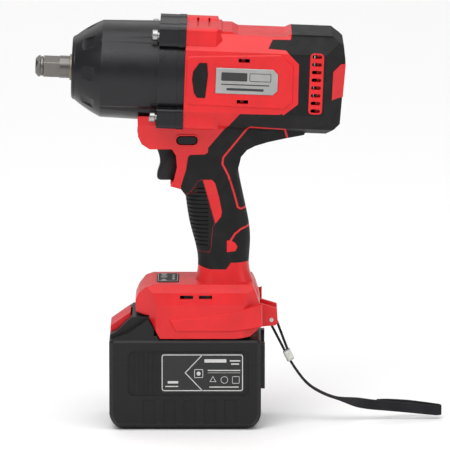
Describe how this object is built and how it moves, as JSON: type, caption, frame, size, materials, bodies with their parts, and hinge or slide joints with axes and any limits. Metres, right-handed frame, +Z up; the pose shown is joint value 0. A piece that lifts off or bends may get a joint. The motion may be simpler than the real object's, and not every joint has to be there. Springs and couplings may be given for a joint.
{
  "type": "impact wrench",
  "caption": "Cordless impact wrench with a square drive, red and black housing, pistol grip and slide-in battery base with a wrist strap.",
  "frame": {"origin": "on the floor plane, at the middle of the battery's flat underside", "axes": "+Z up, -X towards the square drive, +Y across the tool towards its right flank as seen from behind"},
  "size_m": [0.3185, 0.0896, 0.3171],
  "materials": {
    "drive_steel": "dark phosphated steel, worn bright at the edges",
    "plain_steel": "ground bearing and gear steel",
    "bronze": "sintered bronze",
    "case_coat": "satin black coating on die cast alloy",
    "screw_zinc": "bright zinc plate",
    "copper": "enamelled copper wire",
    "laminations": "stacked sheet steel",
    "red_plastic": "moulded glass filled nylon, fine spark texture",
    "black_overmould": "soft touch overmould, fine texture",
    "black_plastic": "moulded plastic, fine texture",
    "grey_plastic": "moulded plastic",
    "plate_silver": "satin foil, blank",
    "panel_film": null,
    "lens": "clear moulded lens",
    "circuit": "solder mask",
    "label_film": null,
    "cell_wrap": "shrink sleeve",
    "cord": "braided cord",
    "clear_sleeve": "translucent sleeve",
    "webbing": "ribbed nylon webbing"
  },
  "bodies": {
    "tool": {"anvil_bushing": "bronze", "hammer_case": "case_coat", "case_screws": "screw_zinc", "gear_case_cover": "case_coat", "spindle_bearing": "plain_steel", "ring_gear": "plain_steel", "stator_core": "laminations", "stator_coils": "copper", "front_bearing": "plain_steel", "rear_bearing": "plain_steel", "housing_left": "red_plastic", "housing_right": "red_plastic", "housing_screws": "drive_steel", "body_overmould_left": "black_overmould", "body_overmould_right": "black_overmould", "back_overmould_left": "black_overmould", "back_overmould_right": "black_overmould", "grip_pad_left": "black_overmould", "grip_pad_right": "black_overmould", "rear_accent": "red_plastic", "vent_grilles": "red_plastic", "bumper_pads": "black_overmould", "nameplates": "plate_silver", "trigger_switch": "grey_plastic", "trigger_spring": "plain_steel", "worklight_lens": "lens", "control_panel": "panel_film", "controller_board": "circuit", "terminal_block": "grey_plastic", "lanyard_pin": "plain_steel"},
    "anvil": {"anvil": "drive_steel", "anvil_o_ring": "black_overmould", "friction_ring": "drive_steel"},
    "spindle": {"spindle": "plain_steel", "planet_pins": "plain_steel", "spring_washer": "plain_steel", "cam_balls": "plain_steel", "hammer_spring": "plain_steel"},
    "hammer": {"hammer": "drive_steel"},
    "planet_1": {"planet_gear_1": "plain_steel"},
    "planet_2": {"planet_gear_2": "plain_steel"},
    "planet_3": {"planet_gear_3": "plain_steel"},
    "rotor": {"rotor_shaft": "plain_steel", "rotor_core": "laminations", "rotor_magnets": "screw_zinc", "cooling_fan": "black_plastic"},
    "trigger": {"trigger": "black_plastic"},
    "reverse_button": {"reverse_button": "black_plastic"},
    "mode_button": {"mode_button": "grey_plastic"},
    "battery": {"battery_case_upper": "black_plastic", "battery_case_lower": "black_plastic", "battery_cells": "cell_wrap", "cell_holders": "grey_plastic", "battery_terminals": "copper", "battery_labels": "label_film", "latch_spring": "plain_steel"},
    "latch": {"battery_latch": "red_plastic"},
    "strap": {"strap_cord": "cord", "strap_sleeve": "clear_sleeve", "strap_webbing": "webbing"}
  },
  "joints": [
    {"name": "spindle_spin", "type": "hinge", "parent": "tool", "child": "spindle", "pos_m": [0, 0, 0.2767], "axis": [0.9993, 0, -0.0384], "continuous": true},
    {"name": "anvil_spin", "type": "hinge", "parent": "tool", "child": "anvil", "pos_m": [0, 0, 0.2767], "axis": [0.9993, 0, -0.0384], "continuous": true},
    {"name": "rotor_spin", "type": "hinge", "parent": "tool", "child": "rotor", "pos_m": [0, 0, 0.2767], "axis": [0.9993, 0, -0.0384], "continuous": true},
    {"name": "planet_1_spin", "type": "hinge", "parent": "spindle", "child": "planet_1", "pos_m": [-0.01019, 0.0135, 0.27709], "axis": [0.9993, 0, -0.0384], "continuous": true},
    {"name": "planet_2_spin", "type": "hinge", "parent": "spindle", "child": "planet_2", "pos_m": [-0.00974, -0.00675, 0.28877], "axis": [0.9993, 0, -0.0384], "continuous": true},
    {"name": "planet_3_spin", "type": "hinge", "parent": "spindle", "child": "planet_3", "pos_m": [-0.01064, -0.00675, 0.26541], "axis": [0.9993, 0, -0.0384], "continuous": true},
    {"name": "hammer_slide", "type": "slide", "parent": "spindle", "child": "hammer", "axis": [0.9993, 0, -0.0384], "range_m": [0, 0.0085], "deforming": ["hammer_spring"]},
    {"name": "trigger_pull", "type": "slide", "parent": "tool", "child": "trigger", "axis": [1, 0, 0], "range_m": [0, 0.007], "deforming": ["trigger_spring"]},
    {"name": "reverse_button_slide", "type": "slide", "parent": "tool", "child": "reverse_button", "axis": [0, 1, 0], "range_m": [-0.003, 0.003]},
    {"name": "mode_button_press", "type": "slide", "parent": "tool", "child": "mode_button", "axis": [0, 0, -1], "range_m": [0, 0.0006]},
    {"name": "battery_slide", "type": "slide", "parent": "tool", "child": "battery", "axis": [-1, 0, 0], "range_m": [0, 0.125]},
    {"name": "latch_press", "type": "slide", "parent": "battery", "child": "latch", "axis": [0, 0, -1], "range_m": [0, 0.0032], "deforming": ["latch_spring"]},
    {"name": "strap_swing", "type": "hinge", "parent": "tool", "child": "strap", "pos_m": [0.0673, 0, 0.0826], "axis": [0, -1, 0], "range_deg": [0, 80]}
  ],
  "couplings": [
    {"joint": "anvil_spin", "follows": "spindle_spin", "ratio": 1},
    {"joint": "rotor_spin", "follows": "spindle_spin", "ratio": 6},
    {"joint": "planet_1_spin", "follows": "spindle_spin", "ratio": -2.5},
    {"joint": "planet_2_spin", "follows": "spindle_spin", "ratio": -2.5},
    {"joint": "planet_3_spin", "follows": "spindle_spin", "ratio": -2.5}
  ]
}
